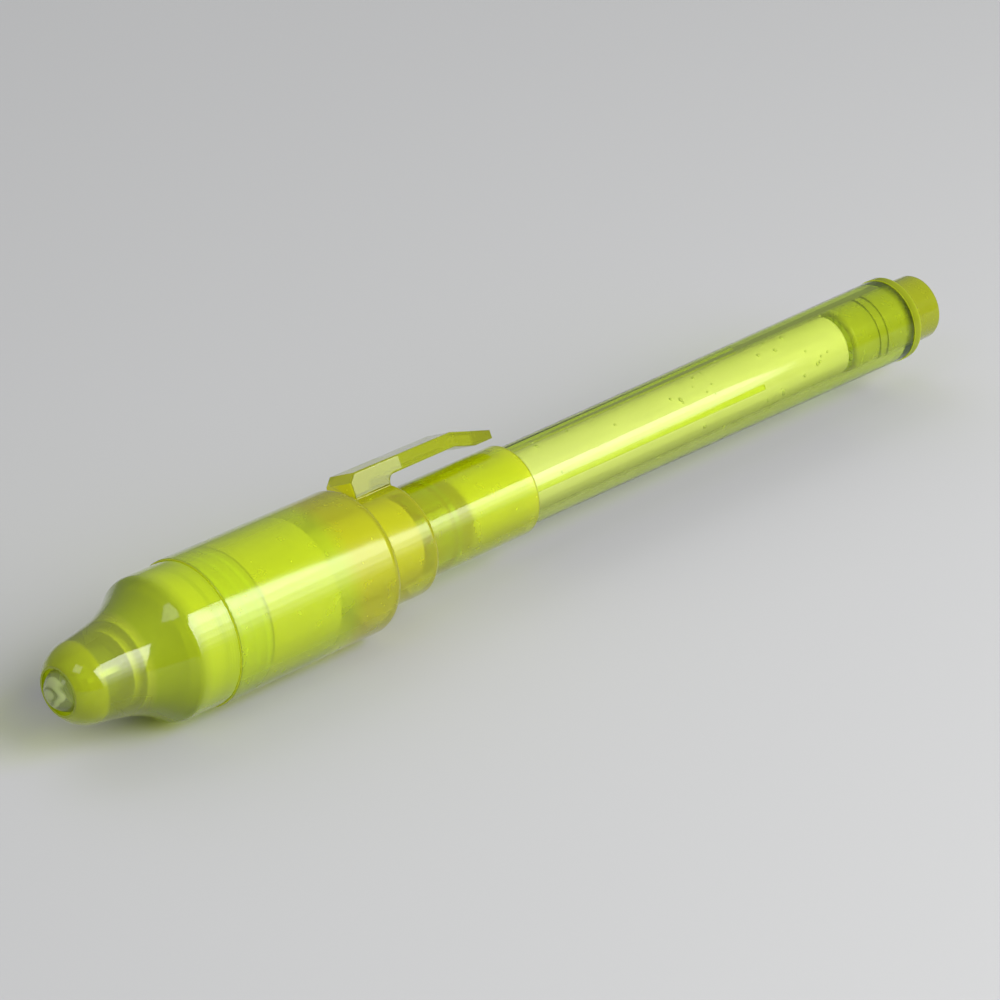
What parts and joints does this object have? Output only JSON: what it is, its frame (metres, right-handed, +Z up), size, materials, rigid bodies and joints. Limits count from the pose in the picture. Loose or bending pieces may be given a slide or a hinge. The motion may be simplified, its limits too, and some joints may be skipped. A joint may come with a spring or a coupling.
{
  "type": "uv invisible ink pen",
  "caption": "Invisible-ink marker with a clear barrel and a translucent yellow cap that holds an ultraviolet lamp, battery carrier, push button and pocket clip.",
  "frame": {"origin": "centre of the flat end of the tail stub", "axes": "+X along the pen towards the tail, the lamp at -X; +Z up; the clip leans from +Z towards +Y"},
  "size_m": [0.132, 0.0166, 0.0169],
  "materials": {
    "clear_barrel": "clear gloss",
    "plug_plastic": "clear gloss",
    "nib_fibre": "bonded fibre",
    "reservoir_fibre": "bonded fibre",
    "film": "clear film",
    "cap_plastic": "translucent gloss",
    "nose_plastic": "translucent gloss",
    "soft_plastic": "soft natural polyethylene",
    "white_plastic": "satin white",
    "button_plastic": "gloss",
    "lamp_epoxy": "water clear",
    "lead_metal": "tinned",
    "die": "polished",
    "strip_metal": "nickel plated spring strip",
    "cell_steel": "nickel plated",
    "gasket_plastic": "nylon"
  },
  "bodies": {
    "pen": {"barrel": "clear_barrel", "tail_plug": "plug_plastic", "nib": "nib_fibre", "ink_reservoir": "reservoir_fibre", "reservoir_film": "film"},
    "cap": {"cap_body": "cap_plastic", "inner_cap": "soft_plastic"},
    "light_unit": {"battery_carrier": "white_plastic", "cell_can_1": "cell_steel", "cell_gasket_1": "gasket_plastic", "cell_lid_1": "cell_steel", "cell_can_2": "cell_steel", "cell_gasket_2": "gasket_plastic", "cell_lid_2": "cell_steel", "cell_can_3": "cell_steel", "cell_gasket_3": "gasket_plastic", "cell_lid_3": "cell_steel", "led_lens": "lamp_epoxy", "led_cathode": "lead_metal", "led_anode": "lead_metal", "led_die": "die", "contact_strip": "strip_metal"},
    "nose": {"nose_cone": "nose_plastic"},
    "button": {"push_button": "button_plastic"}
  },
  "joints": [
    {"name": "cap_pull", "type": "slide", "parent": "pen", "child": "cap", "axis": [-1, 0, 0], "range_m": [0, 0.045]},
    {"name": "light_advance", "type": "slide", "parent": "cap", "child": "light_unit", "axis": [-1, 0, 0], "range_m": [0, 0.0045]},
    {"name": "nose_turn", "type": "hinge", "parent": "light_unit", "child": "nose", "pos_m": [-0.1129, 0, 0], "axis": [-1, 0, 0], "range_deg": [0, 1080]},
    {"name": "button_press", "type": "slide", "parent": "cap", "child": "button", "axis": [0, -0.866, 0.5], "range_m": [0, 0.0005], "stiffness_N_per_m": 2000, "deforming": ["contact_strip"]}
  ],
  "couplings": [
    {"joint": "nose_turn", "follows": "light_advance", "rad_per_m": 4188.8}
  ]
}
